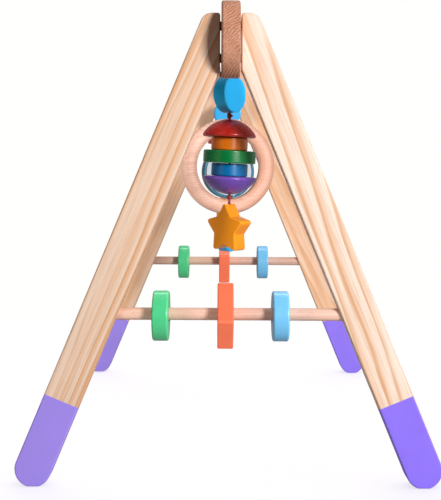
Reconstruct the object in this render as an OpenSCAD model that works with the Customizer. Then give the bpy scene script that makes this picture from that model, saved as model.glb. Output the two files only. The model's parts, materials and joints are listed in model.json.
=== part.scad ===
// Wooden activity play gym: two A-frames joined by a top bar, three pendants that
// hang from the bar, and a crossbar of sliding shapes low on each frame.
// X runs across the gym, Y from the front frame to the back frame, and Z up.
// The origin is on the floor, midway between the four feet.

/* [Frame] */
// Height of the leg tops above the floor
leg_top = 497.5; // [480:0.5:540]
// Distance between the two A-frames, centre to centre
frame_spacing = 500; // [460:10:600]
// Lean of each leg from the vertical, in degrees
leg_lean = 22.4; // [20:0.2:25]
// Width of a leg board across its broad face
leg_width = 38.5; // [34:0.5:42]
// Thickness of a leg board, front to back
leg_thickness = 22; // [18:1:28]
// Height of the vertical cut where a leg meets the hub
cut_height = 59.5; // [59:0.5:70]
// Width of the flat under each rounded foot
foot_flat = 12; // [6:1:16]
// Height of the painted end of each leg, measured on the board's centre line
paint_height = 90; // [60:5:130]

/* [Hubs and top bar] */
// Diameter of the round hub between the leg tops
hub_d = 82; // [78:1:86]
// Thickness of the hub
hub_thickness = 20; // [18:1:24]
// Height of the hub above the leg tops
hub_rise = 14; // [12:0.5:15]
// Diameter of the top bar
top_bar_d = 14; // [13:0.5:16]
// Distance between the two bolts of a hub
bolt_pitch = 34; // [32:1:38]

/* [Crossbars and sliders] */
// Height of the crossbars
crossbar_z = 180; // [150:5:210]
// Diameter of the crossbars
crossbar_d = 13; // [10:0.5:14]
// Diameter of the round sliders
slider_d = 52.5; // [46:0.5:56]
// Side of the square slider
block_side = 51; // [44:1:54]
// Thickness of every slider
slider_t = 17; // [12:0.5:18]
// Bore of every slider
slider_bore = 17; // [15:0.5:20]
// Place of the green slider along the front crossbar
front_green_x = -72; // [-97:1:-50]
// Place of the red slider along the front crossbar
front_red_x = -4; // [-32:1:18]
// Place of the blue slider along the front crossbar
front_blue_x = 54; // [36:1:97]
// Place of the green slider along the back crossbar
back_green_x = -69; // [-97:1:-50]
// Place of the red slider along the back crossbar
back_red_x = -3; // [-32:1:18]
// Turn of the back red slider about its crossbar, from corner up
back_red_turn = -24; // [-45:1:45]
// Place of the blue slider along the back crossbar
back_blue_x = 59; // [36:1:97]

/* [Pendants] */
// Distance of the front and back pendants from the middle one
pendant_spacing = 190; // [180:5:195]
// Diameter of the cords
cord_d = 3; // [2:0.5:3.5]
// Diameter of the knots
knot_d = 5.6; // [5:0.2:6]
// Diameter of the small discs at the ends of the cords
end_disc_d = 42; // [36:1:44]
// Thickness of the small discs at the ends of the cords
end_disc_t = 16; // [12:1:18]
// Depth of the top disc's centre below the top bar on the front and back pendants
stack_disc_drop = 53; // [48:0.2:60]
// Depth of the top disc's centre below the top bar on the middle pendant
ring_disc_drop = 37.6; // [36:0.2:44]

/* [Stacked beads] */
// Diameter of the domes
dome_d = 60; // [50:1:64]
// Height of the domes
dome_height = 20.5; // [18:0.5:24]
// Diameter of the wide green disc
wide_disc_d = 59; // [50:1:62]
// Diameter of the orange and blue discs
narrow_disc_d = 41; // [34:1:46]
// Thickness of the discs between the domes
stack_disc_t = 14.2; // [12:0.2:16]
// Lean of the threaded beads on their cord, in degrees
bead_lean = 2.5; // [0:0.5:3]
// Reach of the star's points from its centre
star_r = 28.2; // [26:0.2:32]
// Reach of the star's hollows from its centre
star_notch_r = 17.5; // [16:0.5:19]
// Thickness of the star
star_t = 17; // [14:1:20]

/* [Ring and mirror] */
// Outer diameter of the ring
ring_d = 128; // [124:1:136]
// Inner diameter of the ring
ring_inner_d = 88; // [82:1:92]
// Depth of the ring, front to back
ring_depth = 22; // [18:1:26]
// Diameter of the mirror's round holder
mirror_d = 71; // [62:1:74]
// Thickness of the mirror's holder
mirror_t = 12; // [11:0.5:14]

/* [Turns at rest] */
// Turn of the front pendant's top disc about its cord
front_disc_turn = 53; // [-90:1:90]
// Turn of the front star about its cord
front_star_turn = -46; // [-90:1:90]
// Turn of the back pendant's top disc about its cord
back_disc_turn = 5; // [-90:1:90]
// Turn of the back star about its cord
back_star_turn = -55; // [-90:1:90]
// Turn of the middle pendant's top disc about its cord
middle_disc_turn = 60; // [-90:1:90]
// Turn of the ring about its cord
ring_turn = 15; // [-90:1:90]
// Turn of the mirror about its cord
mirror_turn = 16; // [-90:1:90]
// Turn of the disc below the ring about its cord
bottom_disc_turn = 55; // [-90:1:90]

/* [Hidden] */
$fn = 64;

// Colours
pine = "#F2D8B8";
beech = "#E8C6A8";
dark_beech = "#C2805F";
leg_paint = "#8A6CF0";
slider_green = "#4FCF87";
slider_red = "#FF7350";
slider_blue = "#66B9F5";
sky_blue = "#2DB0F7";
dome_red = "#C8352C";
stack_orange = "#E3912A";
stack_green = "#0E9150";
stack_blue = "#0A72B8";
dome_purple = "#7350B4";
star_amber = "#E8912E";
mirror_teal = "#1E6E8C";
cord_red = "#B23A26";
steel = "#B8BCC0";
mirror_silver = "#DCE6EE";
spacer_brown = "#3A2A22";

// Clearances
glue_gap = 0.1;
bead_gap = 0.3;
knot_gap = 0.3;

// Frame: half turns put the right-hand or front shape on the other side
front = 0;
back = 180;
right = 0;
left = 180;
frame_y = frame_spacing / 2;
foot_r = leg_width / 2;
foot_z = sqrt(pow(foot_r, 2) - pow(foot_flat / 2, 2));
spacer_t = 1.2;
cut_x = hub_thickness / 2 + spacer_t;
cut_bottom = leg_top - cut_height;
foot_x = cut_x + (cut_bottom - foot_z) * tan(leg_lean) + foot_r / cos(leg_lean);
paint_length = (paint_height - foot_z) / cos(leg_lean);
top_corner_r = 12.6;
inner_corner_r = 3;

// Hubs, top bar and their fasteners
hub_z = leg_top + hub_rise - hub_d / 2;
hub_edge_r = 2.5;
bar_half = frame_y - hub_d / 2;
tenon_d = top_bar_d - 2;
tenon_length = 22;
tenon_end = bar_half + tenon_length - 2 * glue_gap;
bolt_z = [for (side = [-1, 1]) leg_top - cut_height / 2 + side * bolt_pitch / 2];
bolt_hole_d = 8.4;
bolt_seat_x = 24;
bolt_head_d = 12;
bolt_head_t = 3;
bolt_head_pocket_d = 13;
bolt_shank_d = 6;
bolt_shank_length = 34;
sleeve_d = 8;
sleeve_length = 30;
hex_key_d = 4.6;
hex_key_depth = 2;
spacer_d = 10;

// Crossbars and sliders
socket_depth = 16;
crossbar_half = cut_x + (cut_bottom - crossbar_z) * tan(leg_lean) + socket_depth;
slider_z = crossbar_z - (slider_bore - crossbar_d) / 2 + glue_gap;
slider_edge_r = 1.8;
block_corner_r = 3;

// Cords: each hangs from a loop that lies in a groove of the top bar
front_y = -pendant_spacing;
back_y = pendant_spacing;
groove_depth = 0.8;
groove_width = cord_d + 1;
groove_d = top_bar_d - 2 * groove_depth;
loop_r = groove_d / 2 + glue_gap + cord_d / 2;
cord_hole_d = cord_d + 1.5;
knot_r = knot_d / 2;
hinge_gap = 0.3;
hinge_knot_length = knot_d - 0.8;
knot_recess_d = 8;
last_knot_rise = 4.2;
disc_to_knot = end_disc_d / 2 + knot_gap + knot_r;

// Heights on the front and back pendants, from the top down
stack_top_disc_z = hub_z - stack_disc_drop;
stack_hinge_z = stack_top_disc_z - disc_to_knot;
stack_cord_gap = 1.3;
stack_top_z = stack_hinge_z - knot_r - stack_cord_gap;
disc_step = stack_disc_t + bead_gap;
red_dome_z = stack_top_z - dome_height / 2;
orange_disc_z = stack_top_z - dome_height - bead_gap - stack_disc_t / 2;
green_disc_z = orange_disc_z - disc_step;
blue_disc_z = green_disc_z - disc_step;
purple_dome_z = blue_disc_z - stack_disc_t / 2 - bead_gap - dome_height / 2;
stack_knot_z = purple_dome_z - dome_height / 2 - knot_gap - knot_r;
star_cord_gap = 4.6;
star_z = stack_knot_z - knot_r - star_cord_gap - star_r;
star_knot_z = star_z - star_notch_r + last_knot_rise;
stack_knots = [stack_knot_z, star_knot_z];

// Heights on the middle pendant, from the top down
ring_disc_z = hub_z - ring_disc_drop;
ring_hinge_z = ring_disc_z - disc_to_knot;
ring_cord_gap = 6.5;
ring_z = ring_hinge_z - knot_r - ring_cord_gap - ring_d / 2;
ring_edge_r = 7;
mirror_rise = 1;
mirror_z = ring_z - (ring_inner_d - mirror_d) / 2 + mirror_rise;
mirror_recess_d = mirror_d - 7;
mirror_recess_t = 2.2;
mirror_plate_t = 2;
ring_knot_z = ring_z - ring_d / 2 - knot_gap - knot_r;
bottom_cord_gap = 2.6;
bottom_disc_z = ring_knot_z - knot_r - bottom_cord_gap - end_disc_d / 2;
bottom_knot_z = bottom_disc_z - end_disc_d / 2 + last_knot_rise;

dome_rim_t = 4.6;
bead_edge_r = 1.6;
star_point_r = 3;

// ---- Shared shapes ----

// Half section of a disc with rounded outer edges, for turning about the Y axis of the sketch
module rim_section(inner_r, outer_r, thickness, edge_r) {
    translate([inner_r, -thickness / 2])
        square([outer_r - edge_r - inner_r, thickness]);
    translate([inner_r, edge_r - thickness / 2])
        square([outer_r - inner_r, thickness - 2 * edge_r]);
    for (side = [-1, 1])
        translate([outer_r - edge_r, side * (thickness / 2 - edge_r)])
            circle(edge_r);
}

// Turned disc on the Z axis, centred on the origin, with a bore when bore_d is not zero
module turned_disc(d, thickness, bore_d, edge_r) {
    rotate_extrude()
        rim_section(bore_d / 2, d / 2, thickness, edge_r);
}

// Dome on the Z axis, flat side down, centred on half its height
module turned_dome() {
    rim_r = dome_d / 2;
    cap_height = dome_height - dome_rim_t / 2;
    cap_r = (pow(rim_r, 2) + pow(cap_height, 2)) / (2 * cap_height);
    translate([0, 0, -dome_height / 2])
        rotate_extrude() {
            translate([0, dome_rim_t / 2])
                rim_section(cord_hole_d / 2, rim_r, dome_rim_t, dome_rim_t / 2 - 0.1);
            intersection() {
                translate([0, dome_height - cap_r])
                    circle(cap_r);
                translate([cord_hole_d / 2, dome_rim_t / 2])
                    square([rim_r, dome_height]);
            }
        }
}

// Hole for a cord, on the Z axis
module cord_hole(length) {
    cylinder(h = length, d = cord_hole_d, center = true);
}

// Disc that hangs on its edge, with a cord hole across it
module hanging_disc(d, thickness, edge_r) {
    difference() {
        rotate([90, 0, 0])
            turned_disc(d, thickness, 0, edge_r);
        cord_hole(d + 2);
    }
}

// Rod along X, centred on x
module rod_x(x, length, d) {
    translate([x, 0, 0])
        rotate([0, 90, 0])
            cylinder(h = length, d = d, center = true);
}

// ---- A-frames ----

// Region that a leg may fill: floor below, vertical cut at the hub, rounded top corners
module leg_limits() {
    outer_x = foot_x + foot_r / cos(leg_lean);
    corner_z = leg_top - top_corner_r;
    corner_x = outer_x - (corner_z - foot_z) * tan(leg_lean) - top_corner_r / cos(leg_lean);
    inner_corner_z = leg_top - inner_corner_r;
    translate([cut_x, 0])
        square([leg_top, corner_z + top_corner_r * sin(leg_lean)]);
    translate([cut_x, 0])
        square([corner_x - cut_x, inner_corner_z]);
    translate([cut_x + inner_corner_r, 0])
        square([corner_x - cut_x - inner_corner_r, leg_top]);
    intersection() {
        translate([corner_x, corner_z])
            circle(top_corner_r);
        translate([cut_x, 0])
            square(leg_top);
    }
    translate([cut_x + inner_corner_r, inner_corner_z])
        circle(inner_corner_r);
}

// Front view of the right-hand leg
module leg_outline() {
    intersection() {
        union() {
            translate([foot_x, foot_z])
                rotate(leg_lean)
                    translate([-foot_r, 0])
                        square([leg_width, leg_top * 1.2]);
            translate([foot_x, foot_z])
                circle(foot_r);
        }
        leg_limits();
    }
}

// Right-hand leg with its crossbar socket and its two pocketed bolt holes
module leg_board() {
    pocket_length = 40;
    difference() {
        rotate([90, 0, 0])
            linear_extrude(leg_thickness, center = true)
                leg_outline();
        translate([0, 0, crossbar_z])
            rod_x(crossbar_half / 2, crossbar_half + 2 * glue_gap, crossbar_d + 2 * glue_gap);
        for (z = bolt_z)
            translate([0, 0, z]) {
                rod_x(cut_x, 2 * bolt_seat_x, bolt_hole_d);
                rod_x(bolt_seat_x + pocket_length / 2, pocket_length, bolt_head_pocket_d);
            }
    }
}

// Painted lower end of the right-hand leg
module leg_end_zone() {
    translate([foot_x, 0, foot_z])
        rotate([0, -leg_lean, 0])
            translate([-leg_width, -leg_thickness, -leg_width])
                cube([2 * leg_width, 2 * leg_thickness, leg_width + paint_length]);
}

module leg(y, side) {
    translate([0, y, 0])
        rotate([0, 0, side]) {
            color(pine)
                difference() {
                    leg_board();
                    leg_end_zone();
                }
            color(leg_paint)
                intersection() {
                    leg_board();
                    leg_end_zone();
                }
        }
}

// Hub disc on edge between the leg tops, with the top bar's socket in its rim
module hub(end) {
    color(dark_beech)
        rotate([0, 0, end])
            translate([0, -frame_y, hub_z])
                difference() {
                    rotate([0, 90, 0])
                        turned_disc(hub_d, hub_thickness, 0, hub_edge_r);
                    translate([0, hub_d / 2, 0])
                        rotate([90, 0, 0])
                            cylinder(h = 2 * tenon_length, d = tenon_d + 2 * glue_gap, center = true);
                    for (z = bolt_z)
                        translate([0, 0, z - hub_z])
                            rod_x(0, 2 * hub_thickness, bolt_hole_d);
                }
}

// Repeats a fastener at every bolt position of both frames
module at_bolts() {
    for (y = [-frame_y, frame_y], z = bolt_z)
        translate([0, y, z])
            children();
}

// Hexagonal key socket in a fastener's head, opening towards -X
module key_socket() {
    rotate([0, 90, 0])
        cylinder(h = 2 * hex_key_depth, d = hex_key_d, center = true, $fn = 6);
}

// Connector bolts, with their heads on the left
module hub_bolts() {
    color(steel)
        at_bolts()
            difference() {
                union() {
                    rod_x(-bolt_seat_x - bolt_head_t / 2, bolt_head_t, bolt_head_d);
                    rod_x(-bolt_seat_x + bolt_shank_length / 2, bolt_shank_length, bolt_shank_d);
                }
                translate([-bolt_seat_x - bolt_head_t, 0, 0])
                    key_socket();
            }
}

// Sleeve nuts, with their heads on the right and the bolts' ends inside them
module hub_sleeve_nuts() {
    color(steel)
        at_bolts()
            difference() {
                union() {
                    rod_x(bolt_seat_x + bolt_head_t / 2, bolt_head_t, bolt_head_d);
                    rod_x(bolt_seat_x - sleeve_length / 2, sleeve_length, sleeve_d);
                }
                rod_x(bolt_seat_x - sleeve_length / 2, sleeve_length, bolt_shank_d + 2 * glue_gap);
                translate([bolt_seat_x + bolt_head_t, 0, 0])
                    key_socket();
            }
}

// Spacer rings between the hub's cheeks and the legs
module hub_spacers() {
    color(spacer_brown)
        at_bolts()
            for (side = [-1, 1])
                translate([side * (hub_thickness + spacer_t) / 2, 0, 0])
                    rotate([0, 90, 0])
                        turned_disc(spacer_d, spacer_t, bolt_hole_d, 0.4);
}

// Top bar with a tenon at each end and a groove for each pendant's loop
module top_bar() {
    color(beech)
        translate([0, 0, hub_z])
            rotate([90, 0, 0])
                difference() {
                    union() {
                        cylinder(h = 2 * bar_half, d = top_bar_d, center = true);
                        cylinder(h = 2 * tenon_end, d = tenon_d, center = true);
                    }
                    for (place = [-1, 0, 1])
                        translate([0, 0, place * pendant_spacing])
                            difference() {
                                cylinder(h = groove_width, d = 2 * top_bar_d, center = true);
                                cylinder(h = 2 * groove_width, d = groove_d, center = true);
                            }
                }
}

// ---- Crossbars and sliders ----

module crossbar(y) {
    color(beech)
        translate([0, y, crossbar_z])
            rod_x(0, 2 * crossbar_half, crossbar_d);
}

// Round slider; it hangs on the crossbar by the top of its bore
module round_slider(x, y, paint) {
    color(paint)
        translate([x, y, slider_z])
            rotate([0, 90, 0])
                turned_disc(slider_d, slider_t, slider_bore, slider_edge_r);
}

// Square slider, turned about the crossbar from hanging with one corner up
module square_slider(x, y, turn) {
    corner = block_side / 2 - block_corner_r;
    color(slider_red)
        translate([x, y, slider_z])
            rotate([45 + turn, 0, 0])
                rotate([0, 90, 0])
                    linear_extrude(slider_t, center = true)
                        difference() {
                            union() {
                                square([block_side - 2 * block_corner_r, block_side], center = true);
                                square([block_side, block_side - 2 * block_corner_r], center = true);
                                for (a = [-1, 1], b = [-1, 1])
                                    translate([a * corner, b * corner])
                                        circle(block_corner_r);
                            }
                            circle(d = slider_bore);
                        }
}

// ---- Cords ----

// Cord from its loop round the top bar down to its first knot, which the cord below swings about
module upper_cord(y, knot_z) {
    color(cord_red)
        translate([0, y, 0]) {
            translate([0, 0, hub_z])
                rotate([90, 0, 0])
                    rotate_extrude()
                        translate([loop_r, 0])
                            circle(d = cord_d);
            translate([0, 0, knot_z])
                cylinder(h = hub_z - loop_r - knot_z, d = cord_d);
            translate([0, 0, knot_z])
                rod_x(0, hinge_knot_length, knot_d);
        }
}

// Cord below the first knot, with further knots; the last one ends it
module lower_cord(y, hinge_z, knots) {
    end_z = knots[len(knots) - 1];
    color(cord_red)
        translate([0, y, 0]) {
            translate([0, 0, end_z])
                cylinder(h = hinge_z - knot_r - hinge_gap - end_z, d = cord_d);
            for (z = knots)
                translate([0, 0, z])
                    sphere(knot_r);
        }
}

// ---- Pendant pieces ----

// Small sky-blue disc that hangs on edge
module end_disc(y, z, turn) {
    color(sky_blue)
        translate([0, y, z])
            rotate([0, 0, turn])
                hanging_disc(end_disc_d, end_disc_t, bead_edge_r);
}

// Disc below the ring; the recess below hides the cord's last knot
module bottom_disc() {
    recess_top = bottom_knot_z + knot_r + knot_gap;
    difference() {
        end_disc(0, bottom_disc_z, bottom_disc_turn);
        translate([0, 0, recess_top - end_disc_d / 2])
            cylinder(h = end_disc_d / 2, d = knot_recess_d);
    }
}

// Dome threaded on a cord; flip is 180 for a dome that points down
module dome(y, z, flip, paint) {
    color(paint)
        translate([0, y, z])
            rotate([0, bead_lean + flip, 0])
                turned_dome();
}

// Disc threaded flat on a cord
module bead(y, z, d, paint) {
    color(paint)
        translate([0, y, z])
            rotate([0, bead_lean, 0])
                turned_disc(d, stack_disc_t, cord_hole_d, bead_edge_r);
}

// Direction of an angle, measured from the star's right
function along(angle) = [cos(angle), sin(angle)];

// Outline of a five-pointed star with rounded points, one point up
function star_outline(point_r) =
    let (
        centre_r = star_r - point_r,
        to_notch = star_notch_r * along(36) - [centre_r, 0],
        half_arc = atan2(to_notch[1], to_notch[0]) - acos(point_r / norm(to_notch)),
        steps = 5
    )
    [for (tip = [0:4], step = [-steps:steps + 1])
        let (middle = 90 + 72 * tip)
        step > steps
            ? star_notch_r * along(middle + 36)
            : centre_r * along(middle) + point_r * along(middle + half_arc * step / steps)];

// Star threaded point up; the recess below hides the cord's last knot
module star(y, turn) {
    recess_top = star_knot_z - star_z + knot_r + knot_gap;
    color(star_amber)
        translate([0, y, star_z])
            rotate([0, 0, turn])
                difference() {
                    rotate([90, 0, 0])
                        linear_extrude(star_t, center = true)
                            polygon(star_outline(star_point_r));
                    cord_hole(2 * star_r + 2);
                    translate([0, 0, recess_top - star_r])
                        cylinder(h = star_r, d = knot_recess_d);
                }
}

// Wooden ring that hangs on edge, with a cord hole at its top and bottom
module ring() {
    middle_r = (ring_d + ring_inner_d) / 4;
    width = (ring_d - ring_inner_d) / 2;
    corner_x = width / 2 - ring_edge_r;
    corner_y = ring_depth / 2 - ring_edge_r;
    color(beech)
        translate([0, 0, ring_z])
            rotate([0, 0, ring_turn])
                difference() {
                    rotate([90, 0, 0])
                        rotate_extrude()
                            translate([middle_r, 0]) {
                                square([width - 2 * ring_edge_r, ring_depth], center = true);
                                square([width, ring_depth - 2 * ring_edge_r], center = true);
                                for (a = [-1, 1], b = [-1, 1])
                                    translate([a * corner_x, b * corner_y])
                                        circle(ring_edge_r);
                            }
                    cord_hole(ring_d + 2);
                }
}

// Places something on both faces of the mirror's holder
module at_mirror_faces() {
    translate([0, 0, mirror_z])
        rotate([0, 0, mirror_turn])
            for (side = [0, 180])
                rotate([0, 0, side])
                    translate([0, mirror_recess_t - mirror_t / 2, 0])
                        rotate([90, 0, 0])
                            children();
}

// Painted disc inside the ring, with a recess in each face for a mirror
module mirror_holder() {
    color(mirror_teal)
        difference() {
            translate([0, 0, mirror_z])
                rotate([0, 0, mirror_turn])
                    hanging_disc(mirror_d, mirror_t, bead_edge_r);
            at_mirror_faces()
                cylinder(h = 2 * mirror_recess_t, d = mirror_recess_d);
        }
}

// Shatterproof mirror plates, one on each side
module mirror_plates() {
    color(mirror_silver)
        at_mirror_faces()
            cylinder(h = mirror_plate_t, d = mirror_recess_d - 0.6);
}

leg(-frame_y, left);  // front_left_leg
leg(-frame_y, right);  // front_right_leg
leg(frame_y, left);  // back_left_leg
leg(frame_y, right);  // back_right_leg
hub(front);  // front_hub
hub(back);  // back_hub
hub_bolts();
hub_sleeve_nuts();
hub_spacers();
top_bar();
crossbar(-frame_y);  // front_crossbar
crossbar(frame_y);  // back_crossbar
round_slider(front_green_x, -frame_y, slider_green);  // front_green_slider
square_slider(front_red_x, -frame_y, 0);  // front_red_slider
round_slider(front_blue_x, -frame_y, slider_blue);  // front_blue_slider
round_slider(back_green_x, frame_y, slider_green);  // back_green_slider
square_slider(back_red_x, frame_y, back_red_turn);  // back_red_slider
round_slider(back_blue_x, frame_y, slider_blue);  // back_blue_slider
upper_cord(front_y, stack_hinge_z);  // front_upper_cord
end_disc(front_y, stack_top_disc_z, front_disc_turn);  // front_top_disc
lower_cord(front_y, stack_hinge_z, stack_knots);  // front_lower_cord
dome(front_y, red_dome_z, 0, dome_red);  // front_red_dome
bead(front_y, orange_disc_z, narrow_disc_d, stack_orange);  // front_orange_disc
bead(front_y, green_disc_z, wide_disc_d, stack_green);  // front_green_disc
bead(front_y, blue_disc_z, narrow_disc_d, stack_blue);  // front_blue_disc
dome(front_y, purple_dome_z, 180, dome_purple);  // front_purple_dome
star(front_y, front_star_turn);  // front_star
upper_cord(back_y, stack_hinge_z);  // back_upper_cord
end_disc(back_y, stack_top_disc_z, back_disc_turn);  // back_top_disc
lower_cord(back_y, stack_hinge_z, stack_knots);  // back_lower_cord
dome(back_y, red_dome_z, 0, dome_red);  // back_red_dome
bead(back_y, orange_disc_z, narrow_disc_d, stack_orange);  // back_orange_disc
bead(back_y, green_disc_z, wide_disc_d, stack_green);  // back_green_disc
bead(back_y, blue_disc_z, narrow_disc_d, stack_blue);  // back_blue_disc
dome(back_y, purple_dome_z, 180, dome_purple);  // back_purple_dome
star(back_y, back_star_turn);  // back_star
upper_cord(0, ring_hinge_z);  // middle_upper_cord
end_disc(0, ring_disc_z, middle_disc_turn);  // middle_top_disc
lower_cord(0, ring_hinge_z, [ring_knot_z, bottom_knot_z]);  // middle_lower_cord
ring();
mirror_holder();
mirror_plates();
bottom_disc();  // middle_bottom_disc
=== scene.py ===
import json
import math

import bmesh
import bpy
import numpy as np
from mathutils import Matrix, Vector

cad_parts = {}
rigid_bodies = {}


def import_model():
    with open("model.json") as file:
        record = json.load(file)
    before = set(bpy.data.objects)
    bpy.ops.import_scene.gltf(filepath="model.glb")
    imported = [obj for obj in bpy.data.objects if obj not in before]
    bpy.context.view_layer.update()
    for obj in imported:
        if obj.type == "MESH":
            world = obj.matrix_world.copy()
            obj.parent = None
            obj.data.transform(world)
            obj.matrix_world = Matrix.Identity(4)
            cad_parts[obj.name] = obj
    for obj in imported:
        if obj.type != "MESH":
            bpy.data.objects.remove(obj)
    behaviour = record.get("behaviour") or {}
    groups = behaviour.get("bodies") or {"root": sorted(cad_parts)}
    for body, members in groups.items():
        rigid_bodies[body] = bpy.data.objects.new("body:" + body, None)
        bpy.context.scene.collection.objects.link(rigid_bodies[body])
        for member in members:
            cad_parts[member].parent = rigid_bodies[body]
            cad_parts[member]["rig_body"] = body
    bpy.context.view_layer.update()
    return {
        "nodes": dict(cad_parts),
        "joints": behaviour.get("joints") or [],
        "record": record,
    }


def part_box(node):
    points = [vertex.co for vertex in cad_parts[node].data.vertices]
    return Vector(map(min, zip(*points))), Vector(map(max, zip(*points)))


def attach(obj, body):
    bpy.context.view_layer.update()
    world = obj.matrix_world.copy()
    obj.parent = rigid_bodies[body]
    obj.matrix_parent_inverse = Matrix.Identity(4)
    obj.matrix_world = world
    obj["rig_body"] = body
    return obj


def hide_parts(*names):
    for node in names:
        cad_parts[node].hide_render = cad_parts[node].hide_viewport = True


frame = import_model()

# A wooden activity play gym: turned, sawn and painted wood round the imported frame.
# Lengths are in metres. The pieces' places and sizes come from the frame's nodes and joints,
# and the values below are the finish, the fine detail and the camera, which the frame doesn't hold.

MM = 0.001
UP = Vector((0, 0, 1))
FORWARD = Vector((0, -1, 0))

# Radii of rounded edges
LEG_EDGE = 1.9 * MM
STAR_EDGE = 1.8 * MM
BLOCK_EDGE = 1.6 * MM
BLOCK_CORNER = 3.0 * MM
HUB_EDGE = 2.6 * MM
RING_EDGE = 8.0 * MM
DISC_EDGE = 1.6 * MM
DOME_EDGE = 2.4 * MM
DOWEL_EDGE = 1.0 * MM
SPACER_EDGE = 0.5 * MM
BORE_EDGE = 0.9 * MM
SLIDER_EDGE = 2.2 * MM

# Radii of holes and of what goes through them
SLIDER_BORE = 8.5 * MM
BOLT_HOLE = 4.2 * MM
BOLT_POCKET = 6.5 * MM
BOLT_HEAD = 6.0 * MM
BOLT_SHANK = 3.0 * MM
NUT_SLEEVE = 4.0 * MM
HEX_SOCKET = 2.3 * MM
CORD_HOLE = 2.25 * MM
CORD_RADIUS = 1.5 * MM
KNOT_RADIUS = 3.6 * MM
TIE_RADIUS = 3.4 * MM
KNOT_RECESS = 4.0 * MM

# Other sizes
HEAD_HEIGHT = 3.0 * MM
CORD_LAY = 9.0 * MM
PAINT_HEIGHT = 90 * MM
MIRROR_INSET = 3.5 * MM
MIRROR_RECESS = 2.2 * MM
LATHE_STEPS = 96
FINE_STEPS = 48

# The camera: its lens in millimetres, its shift upwards in frame heights, its roll, and its place
# to the right of the middle, in front of the front legs and above the floor
CAMERA_LENS = 62.34
CAMERA_SHIFT = -0.1738
CAMERA_ROLL = math.radians(-0.323)
CAMERA_SIDE = -0.0101
CAMERA_DISTANCE = 0.9056
CAMERA_HEIGHT = 0.3398


# ---------------------------------------------------------------- reading the frame


def cad_points(node):
    """The CAD node's vertices as an array."""
    mesh = frame["nodes"][node].data
    points = np.empty(len(mesh.vertices) * 3)
    mesh.vertices.foreach_get("co", points)
    return points.reshape(-1, 3)


def flat_normal(node):
    """Normal of the CAD node's largest flat side."""
    sides = {}
    for face in frame["nodes"][node].data.polygons:
        side = sides.setdefault(tuple(round(c, 2) for c in face.normal), [0.0, Vector()])
        side[0] += face.area
        side[1] += face.normal * face.area
    return max(sides.values(), key=lambda side: side[0])[1].normalized()


def own_frame(node, toward):
    """The node's own frame and its size there. Z is its flat sides' normal, on the side of toward."""
    z = flat_normal(node)
    if z.dot(toward) < 0:
        z.negate()
    upward = UP if abs(z.z) < 0.9 else Vector((0, 1, 0))
    x = upward.cross(z).normalized()
    turn = Matrix((x, z.cross(x), z)).transposed()
    local = cad_points(node) @ np.array(turn)
    low, high = local.min(0), local.max(0)
    middle = turn @ Vector((low + high) / 2)
    return Matrix.Translation(middle) @ turn.to_4x4(), Vector(high - low)


def flat_outline(node, matrix, depth):
    """Corners of the node's flat side at that local depth, in order round their middle."""
    turn = np.array(matrix.to_3x3())
    local = (cad_points(node) - np.array(matrix.translation)) @ turn
    side = local[np.abs(local[:, 2] - depth) < 0.01 * MM][:, :2]
    side = np.unique(np.round(side, 6), axis=0)
    middle = (side.min(0) + side.max(0)) / 2
    order = np.argsort(np.arctan2(side[:, 1] - middle[1], side[:, 0] - middle[0]))
    side = side[order]
    before = side - np.roll(side, 1, axis=0)
    after = np.roll(side, -1, axis=0) - side
    turning = np.abs(before[:, 0] * after[:, 1] - before[:, 1] * after[:, 0])
    straight = turning < 1e-3 * np.linalg.norm(before, axis=1) * np.linalg.norm(after, axis=1)
    return [tuple(corner) for corner in side[~straight]]


def joint_of(body):
    """The joint that moves a body."""
    return next(joint for joint in frame["joints"] if joint["child"] == body)


def slot_of(node):
    """The record's material slot of a node."""
    return next(part["material_slot"] for part in frame["record"]["subparts"] if part["node"] == node)


# ---------------------------------------------------------------- shapes


def arc(centre, radius, start, end, steps=5):
    """Points along an arc, with its angles in degrees."""
    angles = (math.radians(start + (end - start) * step / steps) for step in range(steps + 1))
    return [(centre[0] + radius * math.cos(a), centre[1] + radius * math.sin(a)) for a in angles]


def rounded_section(inner, outer, height, edge, inner_edge=0.0, steps=5):
    """Section of a disc with rounded edges, as (radius, height) points. It is open when inner is 0."""
    half = height / 2
    section = arc((outer - edge, edge - half), edge, -90, 0, steps)
    section += arc((outer - edge, half - edge), edge, 0, 90, steps)
    if inner > 0:
        section += arc((inner + inner_edge, half - inner_edge), inner_edge, 90, 180, steps)
        section += arc((inner + inner_edge, inner_edge - half), inner_edge, 180, 270, steps)
    return section


def dome_section(outer, height, edge, bore):
    """Section of a dome, flat side down, centred on half its height."""
    cap = ((outer - edge) ** 2 + (height - edge) ** 2 - edge**2) / (2 * (height - 2 * edge))
    cap_height = height / 2 - cap
    rim = (outer - edge, edge - height / 2)
    meeting = math.degrees(math.atan2(rim[1] - cap_height, rim[0]))
    top = math.degrees(math.acos((bore + BORE_EDGE) / cap))
    mouth = (bore + BORE_EDGE, cap_height + cap * math.sin(math.radians(top)) - BORE_EDGE)
    section = arc(rim, edge, -90, meeting, 8)
    section += arc((0, cap_height), cap, meeting, top, 18)[1:]
    section += arc(mouth, BORE_EDGE, 90, 180, 4)[1:]
    section += arc((bore + BORE_EDGE, BORE_EDGE - height / 2), BORE_EDGE, 180, 270, 4)
    return section


def lathe(section, closed=True, steps=LATHE_STEPS):
    """A section turned about Z. A closed section has a bore; an open one is capped at both ends."""
    count = len(section)
    verts = []
    for step in range(steps):
        angle = 2 * math.pi * step / steps
        verts += [(r * math.cos(angle), r * math.sin(angle), h) for r, h in section]
    faces = []
    for step in range(steps):
        here, there = step * count, (step + 1) % steps * count
        for k in range(count if closed else count - 1):
            m = (k + 1) % count
            faces.append((here + k, there + k, there + m, here + m))
    if not closed:
        faces.append(tuple(step * count for step in reversed(range(steps))))
        faces.append(tuple(step * count + count - 1 for step in range(steps)))
    return verts, faces


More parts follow.
